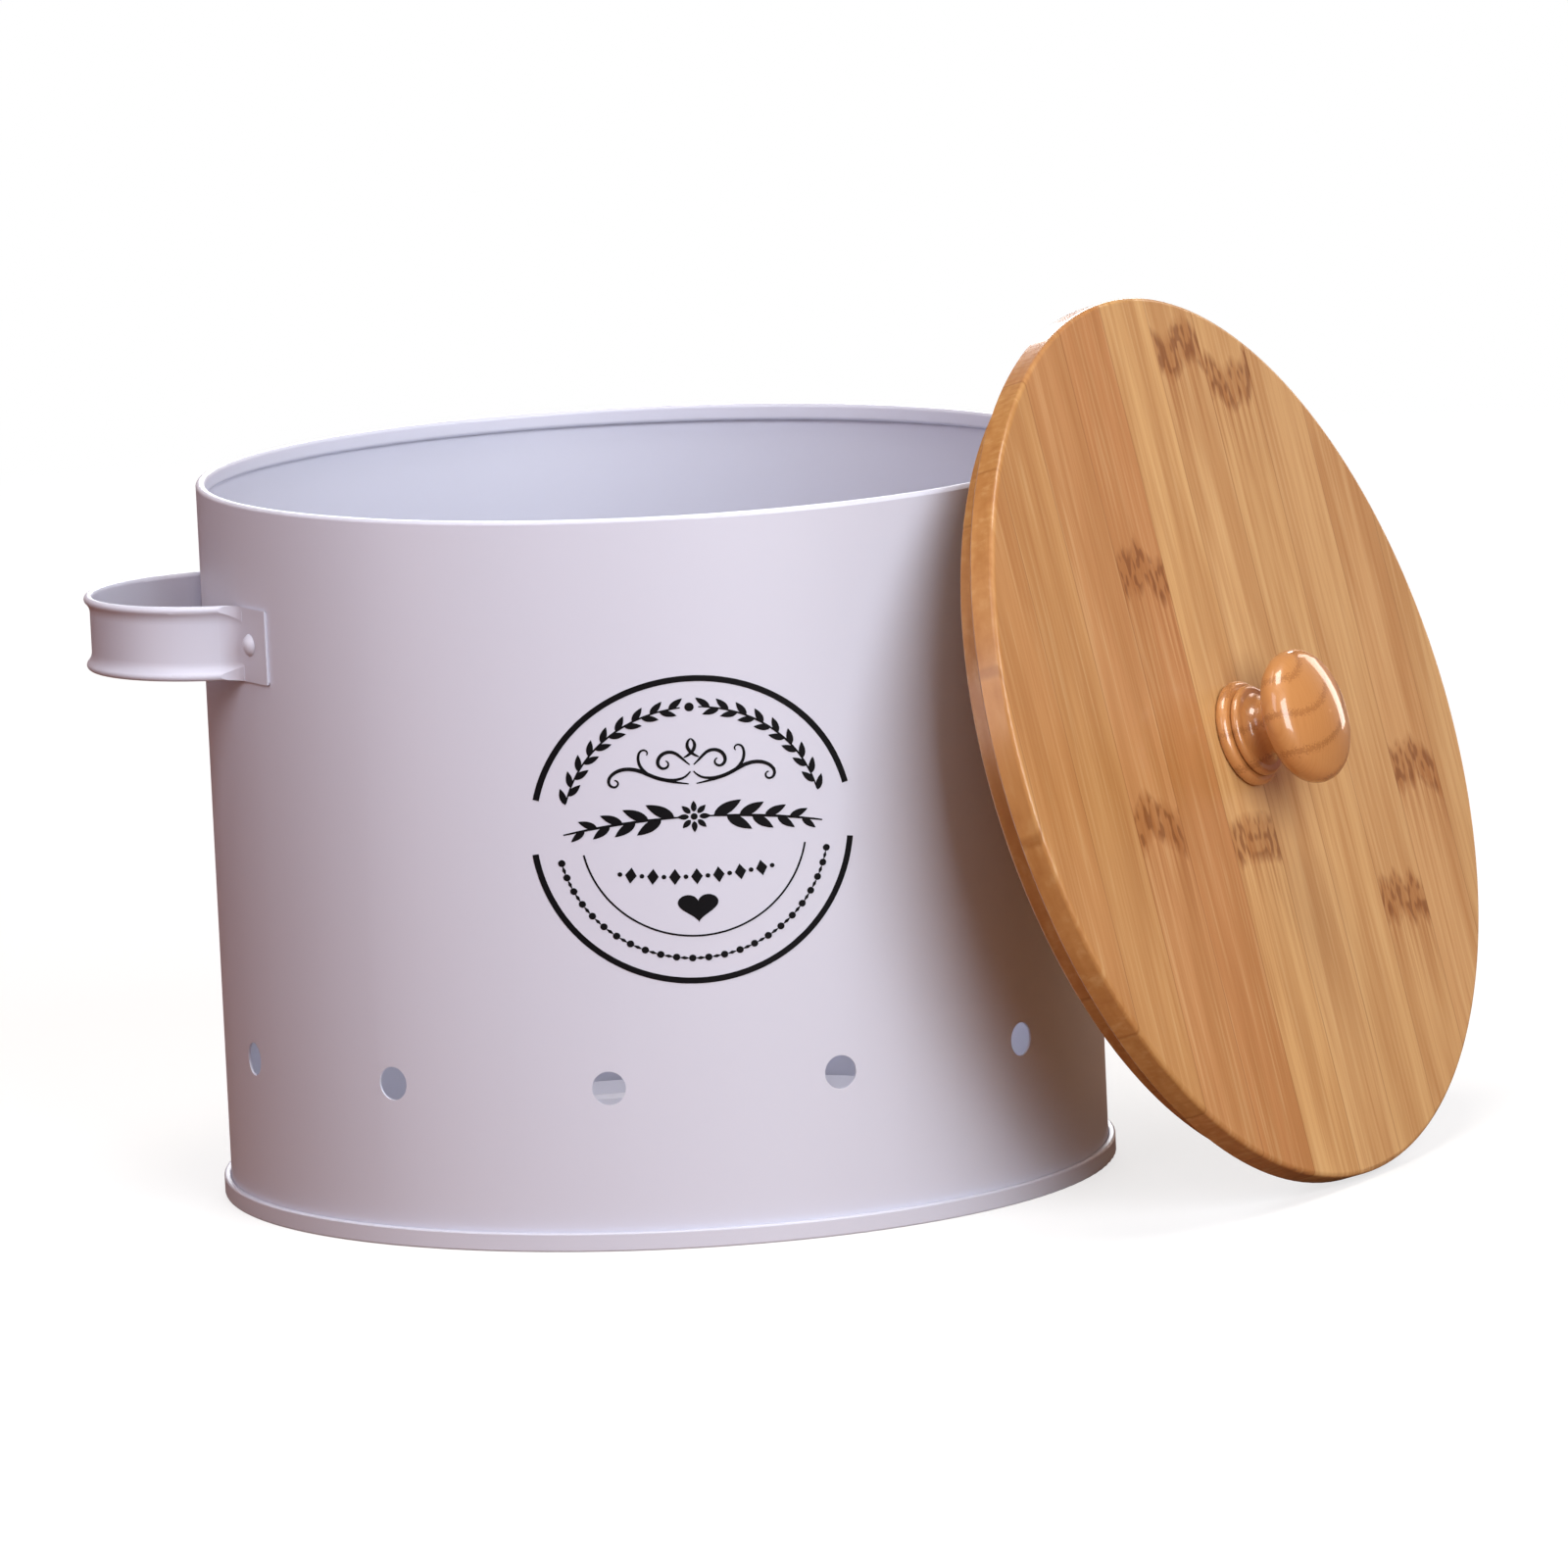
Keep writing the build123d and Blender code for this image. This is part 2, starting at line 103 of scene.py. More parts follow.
def finish_material(tree, shader):
    """Plugs the finished shader into the material's output."""
    tree.links.new(shader.outputs[0], tree.nodes["Material Output"].inputs["Surface"])


def new_object(name, data):
    """Puts a mesh, a camera or a light into the scene."""
    made = bpy.data.objects.new(name, data)
    bpy.context.scene.collection.objects.link(made)
    return made


print("helpers:", [helper.__name__ for helper in (add, ramp, tint, new_material, new_object)])

# %% [markdown]
# The photograph was taken from well back with a long lens, a little above the bin and slightly
# to its left, and the camera was tilted a few degrees. A long lens flattens the perspective, so
# the distance matters as much as the focal length. Both were found by fitting the rim, the foot,
# the vents and the lid to the picture. The camera's matrix is built from its three axes.

# %% Camera
SENSOR = 36.0                 # millimetres
LENS = 315.0                  # millimetres
DISTANCE = 3.738              # metres from the target
AZIMUTH = radians(-8.2)       # round the bin, from straight in front
ELEVATION = radians(8.66)
ROLL = radians(-2.65)
TARGET = Vector((35.41, -5.10, 104.65)) * MM
VIEW_DEPTH = 100.0            # metres, past the far edge of the floor

back = Vector((sin(AZIMUTH) * cos(ELEVATION), -cos(AZIMUTH) * cos(ELEVATION), sin(ELEVATION)))
level_right = Vector((cos(AZIMUTH), sin(AZIMUTH), 0))
level_up = back.cross(level_right)
right = cos(ROLL) * level_right + sin(ROLL) * level_up
up = back.cross(right)

camera = new_object("camera", bpy.data.cameras.new("camera"))
camera.data.lens = LENS
camera.data.sensor_width = SENSOR
camera.data.clip_end = VIEW_DEPTH
camera.matrix_world = Matrix.Translation(TARGET + back * DISTANCE) @ Matrix(
    [(right[i], up[i], back[i], 0) for i in range(3)] + [(0, 0, 0, 1)]
)
bpy.context.scene.camera = camera
bpy.context.scene.view_settings.view_transform = "Standard"
print("camera at", [round(v, 3) for v in camera.matrix_world.translation])

# %% [markdown]
# A product is shot on a pale sweep. It could be modelled with its curve, but under a white
# backdrop one plain floor looks the same. The camera sees it as white paper that gives off most
# of its light, and the rest of it is lit, so that it still takes a soft shadow. The object itself
# is lit by a warm wooden table top. Its brown darkens to the left: that is painted shade, laid
# on the table where the bin would shade it. The foot of the bin takes its brown from there.

# %% Floor
FLOOR_SIZE = 12.0                    # metres, so that its edge stays out of the picture
PAPER_GLOW = 0.70                    # the paper's own light near the bin, out of 1
GLOW_NEAR, GLOW_FAR = 0.35, 1.6      # metres from the bin between which it grows to 1
# the painted shade on the table top fades out between these two
SHADED_SIDE, UNSHADED_SIDE = -0.26, 0.02  # metres along X between which the table top grows lighter

half = FLOOR_SIZE / 2
corners = [(-half, -half, 0), (half, -half, 0), (half, half, 0), (-half, half, 0)]
floor_mesh = bpy.data.meshes.new("floor")
floor_mesh.from_pydata(corners, [], [(0, 1, 2, 3)])
floor_object = new_object("floor", floor_mesh)

floor_material, tree = new_material("plain pale floor")
place = add(tree, "ShaderNodeTexCoord").outputs["Object"]
away = add(tree, "ShaderNodeVectorMath", {0: place}, operation="LENGTH").outputs["Value"]
glow = ramp(tree, away, GLOW_NEAR, GLOW_FAR, PAPER_GLOW, 1.0)
paper = add(tree, "ShaderNodeBsdfDiffuse", {"Color": srgb("FFFFFF")}).outputs[0]
light = add(tree, "ShaderNodeEmission", {"Color": srgb("FFFFFF"), "Strength": 1.0}).outputs[0]
seen = add(tree, "ShaderNodeMixShader", {0: glow, 1: paper, 2: light}).outputs[0]

# Painted shade: the table top's brown turns dark towards the left of the bin, where the bin would
# shade it.
sideways = add(tree, "ShaderNodeSeparateXYZ", {0: place}).outputs["X"]
brown = tint(tree, ramp(tree, sideways, SHADED_SIDE, UNSHADED_SIDE), srgb("5E2A0C"), srgb("8A684E"))
table_top = add(tree, "ShaderNodeBsdfDiffuse", {"Color": brown}).outputs[0]
to_camera = add(tree, "ShaderNodeLightPath").outputs["Is Camera Ray"]
finish_material(tree, add(tree, "ShaderNodeMixShader", {0: to_camera, 1: table_top, 2: seen}))
floor_mesh.materials.append(floor_material)
print("floor", FLOOR_SIZE, "m square")

# %% [markdown]
# The light is soft studio light. A picture of a studio wrapped round the scene could give it, but
# lamps can be placed one by one. The large key softbox stands at the right front, where the lid's
# shadow on the bin says that it is, and shows as the bright bar in the knob's varnish. A tall strip
# at the left puts the sheen on the lid's edge, and a small softbox hangs near the bin on that
# side, so close that its light fades down the wall. A narrow one behind at the right draws the
# light line round the knob. One overhead lights the inside of the bin, so that the vents look
# pale, and one at the rear keeps the back of the bin from going dark.

# %% Softboxes
MIDDLE = (0.04, 0, 0.1)            # the middle of bin and lid together, in metres
LEFT_SHOULDER = (-0.08, -0.05, 0.15)


def softbox(name, place, aim, size, power, colour):
    """A rectangular area light at a place, turned to face its aim. Metres and watts."""
    lamp = bpy.data.lights.new(name, "AREA")
    lamp.shape = "RECTANGLE"
    lamp.size, lamp.size_y = size
    lamp.energy = power
    lamp.color = srgb(colour)[:3]
    made = new_object(name, lamp)
    made.location = place
    made.rotation_euler = (Vector(aim) - Vector(place)).to_track_quat("-Z", "Y").to_euler()


softbox("key softbox", (0.75, -1.85, 0.95), MIDDLE, (1.25, 1.5), 47, "F4FAFF")
softbox("strip softbox", (-1.8, -0.7, 0.55), MIDDLE, (0.25, 1.1), 4.5, "FFE4DC")
softbox("near softbox", (-0.5, -0.46, 0.62), LEFT_SHOULDER, (0.6, 0.45), 2.5, "F2F4FF")
softbox("back softbox", (1.4, 1.15, 0.58), MIDDLE, (0.36, 1.2), 5, "FFEDE2")
softbox("overhead softbox", (0, -0.3, 2.2), MIDDLE, (0.9, 0.9), 28, "FFF8F0")
softbox("rear softbox", (0.45, 2.3, 1.1), MIDDLE, (0.9, 0.9), 32, "F4FAFF")

# %% [markdown]
# The world is a dim warm room, which lets the round wall fall off towards its sides. Its colour
# runs from brown at eye level to dark grey overhead, so two colours stand for the whole room. The
# camera itself sees plain white in its place.

# %% Room
ROOM_STRENGTH = 0.85

world = bpy.data.worlds.new("studio")
world.use_nodes = True
bpy.context.scene.world = world
tree = world.node_tree
tree.nodes.clear()
direction = add(tree, "ShaderNodeTexCoord").outputs["Generated"]
height = add(tree, "ShaderNodeSeparateXYZ", {0: direction}).outputs["Z"]
room = add(tree, "ShaderNodeValToRGB", {"Fac": height})
room.color_ramp.elements[0].color = srgb("A0664C")
room.color_ramp.elements[1].color = srgb("2E2C2C")
room_sockets = {"Color": room.outputs["Color"], "Strength": ROOM_STRENGTH}
room_light = add(tree, "ShaderNodeBackground", room_sockets).outputs[0]
backdrop = add(tree, "ShaderNodeBackground", {"Color": srgb("FFFFFF"), "Strength": 1.0}).outputs[0]
to_camera = add(tree, "ShaderNodeLightPath").outputs["Is Camera Ray"]
mix = add(tree, "ShaderNodeMixShader", {0: to_camera, 1: room_light, 2: backdrop})
add(tree, "ShaderNodeOutputWorld", {"Surface": mix.outputs[0]})
print("room light", ROOM_STRENGTH)

# %% [markdown]
# Powder coat is a plastic paint that is sprayed on as dust and baked. It flows into a smooth
# satin skin with a very faint orange peel, about a millimetre across. The paint is one colour,
# so the material is quiet: a pale lilac-grey, a medium roughness and a slight bump. The peel
# could be a picture laid over the steel, but noise in the object's own space needs no unwrapping.

# %% Powder coat
PEEL, PEEL_DEPTH = 1.1 * MM, 0.02 * MM
SHEEN_PATCH = 60 * MM         # the paint's roughness wanders this slowly


def noise(tree, size, detail):
    """Noise in the object's own space, with blots of about this size."""
    place = add(tree, "ShaderNodeTexCoord").outputs["Object"]
    sockets = {"Vector": place, "Scale": 1 / size, "Detail": detail}
    return add(tree, "ShaderNodeTexNoise", sockets).outputs["Fac"]


def dress(names, material):
    """Gives CAD nodes a material in place of the plain one they came with."""
    for name in names:
        for slot in nodes[name].material_slots:
            slot.material = material


powder_coat, tree = new_material("lilac-grey powder coat on steel")
peel_sockets = {"Height": noise(tree, PEEL, 2.0), "Strength": 0.10, "Distance": PEEL_DEPTH}
coat_sockets = {
    "Base Color": srgb("C8CAD8"),
    "Roughness": ramp(tree, noise(tree, SHEEN_PATCH, 1.0), 0.3, 0.7, 0.36, 0.42),
    "IOR": 1.5,
    "Normal": add(tree, "ShaderNodeBump", peel_sockets).outputs[0],
}
finish_material(tree, add(tree, "ShaderNodeBsdfPrincipled", coat_sockets))

painted = [name for name in nodes if name.startswith(("tub", "handle", "rivet"))]
dress(painted, powder_coat)
print("painted:", sorted(painted))

# %% [markdown]
# The lid leans against the right handle, and its grain leans with it. The bamboo pattern is
# drawn in the lid's own directions: across the strips, along the grain and out of the top face.
# A Mapping node of the Texture type takes a point of the room back to them, once it is told
# where the lid's middle is and how the lid is turned.

# %% The lid's own directions
LEAN_TILT = radians(16.65)
LEAN_HEADING = radians(-37.05)
LEAN_TURN = radians(-6.6)
LID_MIDDLE = Vector((145.574, -64.290, 117.100)) * MM

lid_out = Vector(
    (cos(LEAN_HEADING) * cos(LEAN_TILT), sin(LEAN_HEADING) * cos(LEAN_TILT), sin(LEAN_TILT))
)
level = Vector((-sin(LEAN_HEADING), cos(LEAN_HEADING), 0))
slope = lid_out.cross(level)
lid_across = cos(LEAN_TURN) * level + sin(LEAN_TURN) * slope
lid_along = lid_out.cross(lid_across)
lid_turn = Matrix([(lid_across[i], lid_along[i], lid_out[i]) for i in range(3)]).to_euler()


def lid_space(tree, offset=(0, 0, 0)):
    """The point being shaded, in the lid's own directions."""
    place = add(tree, "ShaderNodeTexCoord").outputs["Object"]
    sockets = {"Vector": place, "Location": LID_MIDDLE + Vector(offset), "Rotation": lid_turn}
    return add(tree, "ShaderNodeMapping", sockets, vector_type="TEXTURE").outputs[0]


print("the lid's top faces", [round(v, 3) for v in lid_out])

# %% [markdown]
# Bamboo has no growth rings. A board of it is glued from strips, and every strip was cut from
# another stem, so each has its own tone, and its own knuckle, where the stem had a joint. Ten
# materials would do it, but one material with a table is easier to change. Both are looked up by
# the strip's number, counted from the left. A colour ramp with hard steps is such a table, also
# for numbers: a knuckle's height is stored in it as a grey.

# %% Bamboo strips
STRIP_WIDTH = 25 * MM
LEFT_EDGE = -120.1 * MM       # where the strip at the far left starts
OFF_BOARD = 125.0             # millimetres from the lid's middle, just past its edge
STRIPS = [                    # tone, and the height of the knuckle in millimetres
    ("B88652", OFF_BOARD),
    ("BA8B56", OFF_BOARD),
    ("BB8856", -21.6),
    ("B57F4D", 46.3),
    ("CA9F68", -28.3),
    ("C99F6A", 106.5),
    ("C59B66", 99.0),
    ("C59B67", -49.2),
    ("C29663", -13.7),
    ("C49B67", OFF_BOARD),
]


def number(tree, operation, first, second=0.0):
    """One step of arithmetic on numbers or outputs."""
    return add(tree, "ShaderNodeMath", {0: first, 1: second}, operation=operation).outputs[0]


def look_up(tree, share, colours):
    """Picks one of the colours by a share between 0 and 1."""
    made = add(tree, "ShaderNodeValToRGB", {"Fac": share})
    made.color_ramp.interpolation = "CONSTANT"
    stops = made.color_ramp.elements
    while len(stops) < len(colours):
        stops.new(len(stops) / len(colours))
    for place, (stop, colour) in enumerate(zip(stops, colours)):
        stop.position = place / len(colours)
        stop.color = colour
    return made.outputs["Color"]


bamboo, tree = new_material("satin-lacquered bamboo strips")
spot = add(tree, "ShaderNodeSeparateXYZ", {0: lid_space(tree)}).outputs
from_left = number(tree, "DIVIDE", number(tree, "SUBTRACT", spot["X"], LEFT_EDGE), STRIP_WIDTH)
strip = number(tree, "FLOOR", from_left)
share = number(tree, "DIVIDE", number(tree, "ADD", strip, 0.5), len(STRIPS))
tone = look_up(tree, share, [srgb(colour) for colour, _ in STRIPS])
greys = [0.5 + height / (2 * OFF_BOARD) for _, height in STRIPS]
grey = look_up(tree, share, [(g, g, g, 1) for g in greys])
knuckle = ramp(tree, grey, 0, 1, -OFF_BOARD * MM, OFF_BOARD * MM)
print("bamboo strips:", len(STRIPS))

# %% [markdown]
# A strip is a bundle of long fibres, so its figure is fine streaks along the grain, over broad
# soft ones. Scratches could be painted by hand, but noise gives both when it is squeezed across
# the grain and drawn out along it. Each strip takes another slice of the noise, so that the
# streaks break off at the joints.

# %% Fibres
FIBRE = (1.3 * MM, 45 * MM)   # width and length of one streak
CLOUD = (9.0 * MM, 110 * MM)  # and of the broad soft ones
STRIP_SLICE = 7.3             # from one strip's slice of the noise to the next
DEPTH_SLICE = 4 * MM          # the figure changes over this depth of wood


def streaks(tree, across, along, layer, size, detail):
    """Noise drawn out along the grain. The layer moves it, so that strips don't match."""
    wide, long = size
    across_share = number(tree, "DIVIDE", across, wide)
    along_share = number(tree, "DIVIDE", along, long)
    point = add(tree, "ShaderNodeCombineXYZ", {0: across_share, 1: along_share, 2: layer}).outputs[0]
    sockets = {"Vector": point, "Scale": 1.0, "Detail": detail}
    return add(tree, "ShaderNodeTexNoise", sockets).outputs["Fac"]


strip_slice = number(tree, "MULTIPLY", strip, STRIP_SLICE)
layer = number(tree, "ADD", strip_slice, number(tree, "DIVIDE", spot["Z"], DEPTH_SLICE))
fibres = streaks(tree, spot["X"], spot["Y"], layer, FIBRE, 3.0)
clouds = streaks(tree, spot["X"], spot["Y"], layer, CLOUD, 2.0)
wood = tint(tree, ramp(tree, clouds, 0.42, 0.62, 0.0, 0.50), tone, srgb("A26E3A"))
wood = tint(tree, ramp(tree, fibres, 0.50, 0.75, 0.0, 0.36), wood, srgb("9A6132"))
wood = tint(tree, ramp(tree, fibres, 0.46, 0.28, 0.0, 0.26), wood, srgb("DBBB88"))
print("a fibre streak is", round(FIBRE[0] / MM, 1), "mm wide")

# %% [markdown]
# At a knuckle the fibres part in short dark dashes. They stand in a wavy row, dense in its middle
# and thinning out, over a brown patch. Below the row the wood stays stained along its fibres. The
# same streak noise makes the dashes, only shorter, so that they lie in the grain.

# %% Knuckles
DASH = (1.7 * MM, 4.5 * MM)
WAVE = (7 * MM, 400 * MM)     # the row waves across the strip, and hardly along it
WAVE_RISE = 16 * MM
ROW_CORE, ROW_EDGE = 3.6 * MM, 7.44 * MM     # full up to the first, gone at the second
STAIN_END, STAIN_FULL = -30 * MM, -4 * MM    # below the row's middle
STAIN_TOP = 3 * MM                           # and above it

wave = number(tree, "SUBTRACT", streaks(tree, spot["X"], spot["Y"], layer, WAVE, 0.0), 0.5)
above = number(tree, "SUBTRACT", spot["Y"], knuckle)
above = number(tree, "SUBTRACT", above, number(tree, "MULTIPLY", wave, WAVE_RISE))
row = ramp(tree, number(tree, "ABSOLUTE", above), ROW_EDGE, ROW_CORE)
dashes = ramp(tree, streaks(tree, spot["X"], spot["Y"], layer, DASH, 0.0), 0.48, 0.60)
stain = ramp(tree, above, STAIN_END, STAIN_FULL)
stain = number(tree, "MULTIPLY", stain, ramp(tree, above, STAIN_TOP, -STAIN_TOP))
stain = number(tree, "MULTIPLY", stain, ramp(tree, fibres, 0.45, 0.60, 0.0, 0.45))
wood = tint(tree, stain, wood, srgb("8F5423"))
wood = tint(tree, number(tree, "MULTIPLY", row, 0.50), wood, srgb("925720"))
dark_dashes = number(tree, "MULTIPLY", row, number(tree, "MULTIPLY", dashes, 0.62))
wood = tint(tree, dark_dashes, wood, srgb("6C3608"))
print("strips with a knuckle:", sum(height < OFF_BOARD for _, height in STRIPS))

# %% [markdown]
# A glue line shows as a hair of brown where two strips meet. The turned edge shows the fibres'
# cut ends, which drink the lacquer and go darker; the way a surface faces tells it from the flat
# of the board. The lacquer is satin: a rough surface with a thin clearer coat over it, and the
# fibres can just be felt through both.

# %% Glue lines, turned edge and lacquer
GLUE_CORE, GLUE_EDGE = 0.15 * MM, 0.40 * MM  # from the middle of the joint
GRAIN_DEPTH = 0.05 * MM

from_joint = number(tree, "PINGPONG", from_left, 0.5)
glue = ramp(tree, from_joint, GLUE_EDGE / STRIP_WIDTH, GLUE_CORE / STRIP_WIDTH, 0.0, 0.35)
wood = tint(tree, glue, wood, srgb("794519"))

normal = add(tree, "ShaderNodeNewGeometry").outputs["Normal"]
facing = add(tree, "ShaderNodeVectorMath", {0: normal, 1: lid_out}, operation="DOT_PRODUCT")
edge = ramp(tree, number(tree, "ABSOLUTE", facing.outputs["Value"]), 0.75, 0.35)
wood = tint(tree, number(tree, "MULTIPLY", edge, 0.45), wood, srgb("E2D0A8"), "MULTIPLY")

grain_sockets = {"Height": fibres, "Strength": 0.25, "Distance": GRAIN_DEPTH}
lacquer_sockets = {
    "Base Color": wood,
    "Roughness": ramp(tree, fibres, 0.3, 0.7, 0.42, 0.54),
    "Specular IOR Level": 0.3,
    "Coat Weight": 0.45,
    "Coat Roughness": 0.12,
    "Normal": add(tree, "ShaderNodeBump", grain_sockets).outputs[0],
}
finish_material(tree, add(tree, "ShaderNodeBsdfPrincipled", lacquer_sockets))
dress([name for name in nodes if name.startswith("lid_strip")], bamboo)
print("bamboo material has", len(tree.nodes), "nodes")

# %% [markdown]
# The knob is turned from a plain wood and dipped in varnish. Its growth lines circle the middle
# of the stem it was cut from, which lies outside the knob, so they curve across the head. A Wave
# texture of rings gives them. The varnish is a clear glossy coat, so the softboxes show in it as
# sharp bright shapes.

# %% Varnished knob
RING = 10 * MM                # from one growth line to the next
STEM_LEFT, STEM_UP = 13 * MM, 20 * MM    # from the lid's middle to the middle of the stem
PORE = (0.5 * MM, 9 * MM)
WAVES_PER_UNIT = 10 / pi      # what a Wave texture of scale 1 gives

varnish, tree = new_material("glossy varnish on turned wood")
local = lid_space(tree, offset=lid_across * -STEM_LEFT + lid_along * STEM_UP)
ring_sockets = {
    "Vector": local,
    "Scale": 1 / RING / WAVES_PER_UNIT,
    "Distortion": 1.6,
    "Detail": 2.0,
    "Detail Scale": 60.0,
    "Phase Offset": pi,
}
rings = add(tree, "ShaderNodeTexWave", ring_sockets, wave_type="RINGS", rings_direction="Z")
spot = add(tree, "ShaderNodeSeparateXYZ", {0: local}).outputs
pores = streaks(tree, spot["X"], spot["Y"], spot["Z"], PORE, 2.0)
line = ramp(tree, rings.outputs["Fac"], 0.90, 0.99, 0.0, 0.50)
turned = tint(tree, line, srgb("C28850"), srgb("8A5228"))
turned = tint(tree, ramp(tree, pores, 0.45, 0.7, 0.0, 0.30), turned, srgb("B0723C"))
varnish_sockets = {
    "Base Color": turned,
    "Roughness": 0.38,
    "Coat Weight": 1.0,
    "Coat Roughness": 0.06,
}
finish_material(tree, add(tree, "ShaderNodeBsdfPrincipled", varnish_sockets))
dress(["lid_knob"], varnish)
print("growth lines every", round(RING / MM, 1), "mm")

# %% [markdown]
# The screw under the lid is steel with a zinc plating. One even grey metal would look like
# chrome. Plating is a little brighter in one spot than in the next, so its roughness is mottled,
# in patches under a millimetre across.

# %% Zinc-plated screw
MOTTLE = 0.8 * MM

zinc, tree = new_material("zinc-plated steel")
zinc_sockets = {
    "Base Color": srgb("B9BDC4"),
    "Metallic": 1.0,
    "Roughness": ramp(tree, noise(tree, MOTTLE, 3.0), 0.3, 0.7, 0.25, 0.42),
}
finish_material(tree, add(tree, "ShaderNodeBsdfPrincipled", zinc_sockets))
dress(["knob_screw"], zinc)
print("zinc mottled every", round(MOTTLE / MM, 1), "mm")

# %% [markdown]
# The emblem is screen-printed on the front in black ink. It is drawn flat first, in millimetres
# from its own middle, with u to the right and v up. Curves could be pulled into shape by hand.
# Here each stroke is a pen path: the pen starts somewhere, faces somewhere, and then only says
# how sharply it turns. That gives smooth scrolls. A stroke swells in its middle and thins out at
# its ends, as a brush does.


# %% Pen and brush
def pen_path(start, facing, bends, step=0.4):
    """The points of a pen path. Each bend is its length and its curvature at both ends, per mm."""
    u, v = start
    turn = radians(facing)
    points = [(u, v)]
    for length, sharp, sharper in bends:
        count = max(2, round(length / step))
        for i in range(count):
            curve = sharp + (sharper - sharp) * (i + 0.5) / count
            turn += curve * length / count / 2
            u += cos(turn) * length / count
            v += sin(turn) * length / count
            turn += curve * length / count / 2
            points.append((u, v))
    return points


def arc_path(radius, first, last, step=1.2):
    """The points of an arc round the emblem's middle, between two angles in degrees."""
    count = ceil(abs(radians(last - first)) * radius / step)
    turns = [radians(first + (last - first) * i / count) for i in range(count + 1)]
    return [(radius * cos(turn), radius * sin(turn)) for turn in turns]


def brush(flat, path, thin, thick=None, mirrored=False):
    """Adds a stroke along a path to a flat drawing, and its mirror image if wanted."""
    sides = []
    for i, (u, v) in enumerate(path):
        ahead, behind = path[min(i + 1, len(path) - 1)], path[max(i - 1, 0)]
        normal = Vector((behind[1] - ahead[1], ahead[0] - behind[0])).normalized()
        swell = abs(sin(pi * i / (len(path) - 1))) ** 0.8
        reach = normal * ((thin + ((thick or thin) - thin) * swell) / 2)
        sides.append((Vector((u, v)) + reach, Vector((u, v)) - reach))
    for side in (1, -1) if mirrored else (1,):
        rails = [[flat.verts.new((side * p.x, p.y, 0)) for p in pair] for pair in sides]
        for (a, b), (c, d) in zip(rails, rails[1:]):
            flat.faces.new((a, b, d, c))


def blot(flat, corners):
    """Adds a filled outline to a flat drawing."""
    flat.faces.new([flat.verts.new((u, v, 0)) for u, v in corners])


print("one scroll has", len(pen_path((0, 0), 0, [(9, 0.1, 1.0)])), "points")

# %% [markdown]
# Leaves, beads and petals repeat along arcs. A loop could place them, but one Geometry Nodes tree
# can be opened and tried out in Blender. It puts the motif on points along an arc, turns each
# along the arc, leans every second one the other way, and can make them smaller towards the end.
# First come its sockets.

# %% The arc row's sockets
ROW_INPUTS = [
    ("Motif", "NodeSocketGeometry"),
    ("Count", "NodeSocketInt"),
    ("Radius", "NodeSocketFloat"),
    ("First angle", "NodeSocketFloat"),
    ("Last angle", "NodeSocketFloat"),
    ("Turn", "NodeSocketFloat"),
    ("Lean", "NodeSocketFloat"),
    ("Taper", "NodeSocketFloat"),
    ("Ink", "NodeSocketMaterial"),
]

arc_row = bpy.data.node_groups.new("arc row", "GeometryNodeTree")
for name, kind in ROW_INPUTS:
    arc_row.interface.new_socket(name, in_out="INPUT", socket_type=kind)
arc_row.interface.new_socket("Row", in_out="OUTPUT", socket_type="NodeSocketGeometry")
print("arc row inputs:", [name for name, _ in ROW_INPUTS])

# %% [markdown]
# Inside, the point's number gives its share of the way along the row, the share gives its angle,
# and the angle gives its place and its turn. Every second motif leans to the other side, which
# turns a row of single leaves into a twig.

# %% The arc row
given = add(arc_row, "NodeGroupInput").outputs
index = add(arc_row, "GeometryNodeInputIndex").outputs[0]
share = number(arc_row, "DIVIDE", index, number(arc_row, "SUBTRACT", given["Count"], 1.0))
sweep = number(arc_row, "SUBTRACT", given["Last angle"], given["First angle"])
angle = number(arc_row, "ADD", given["First angle"], number(arc_row, "MULTIPLY", sweep, share))
place_sockets = {
    0: number(arc_row, "MULTIPLY", given["Radius"], number(arc_row, "COSINE", angle)),
    1: number(arc_row, "MULTIPLY", given["Radius"], number(arc_row, "SINE", angle)),
}
place = add(arc_row, "ShaderNodeCombineXYZ", place_sockets).outputs[0]

odd = number(arc_row, "MODULO", index, 2.0)
side = number(arc_row, "SUBTRACT", number(arc_row, "MULTIPLY", odd, 2.0), 1.0)
turn = number(arc_row, "ADD", given["Turn"], pi / 2)
turn = number(arc_row, "ADD", turn, number(arc_row, "MULTIPLY", side, given["Lean"]))
onward = number(arc_row, "MULTIPLY", number(arc_row, "SIGN", sweep), turn)
euler = add(arc_row, "ShaderNodeCombineXYZ", {2: number(arc_row, "ADD", angle, onward)}).outputs[0]
rotation = add(arc_row, "FunctionNodeEulerToRotation", {0: euler}).outputs[0]
size = number(arc_row, "SUBTRACT", 1.0, number(arc_row, "MULTIPLY", given["Taper"], share))

point_sockets = {"Count": given["Count"], "Position": place}
points = add(arc_row, "GeometryNodePoints", point_sockets).outputs[0]
copy_sockets = {"Points": points, "Instance": given["Motif"], "Rotation": rotation, "Scale": size}
copies = add(arc_row, "GeometryNodeInstanceOnPoints", copy_sockets).outputs[0]
real = add(arc_row, "GeometryNodeRealizeInstances", {"Geometry": copies}).outputs[0]
inked = add(arc_row, "GeometryNodeSetMaterial", {"Geometry": real, "Material": given["Ink"]})
add(arc_row, "NodeGroupOutput", {"Row": inked.outputs[0]})
print("arc row has", len(arc_row.nodes), "nodes")

# %% [markdown]
# Screen ink dries to a matt black with the faintest trace of the screen's mesh in it. It hardly
# shines, which keeps the thin lines black where the softboxes would otherwise wash them out. Pure
# black would look like a hole, so the ink is a very dark grey.

# %% Ink
MESH_MARK = 0.4 * MM

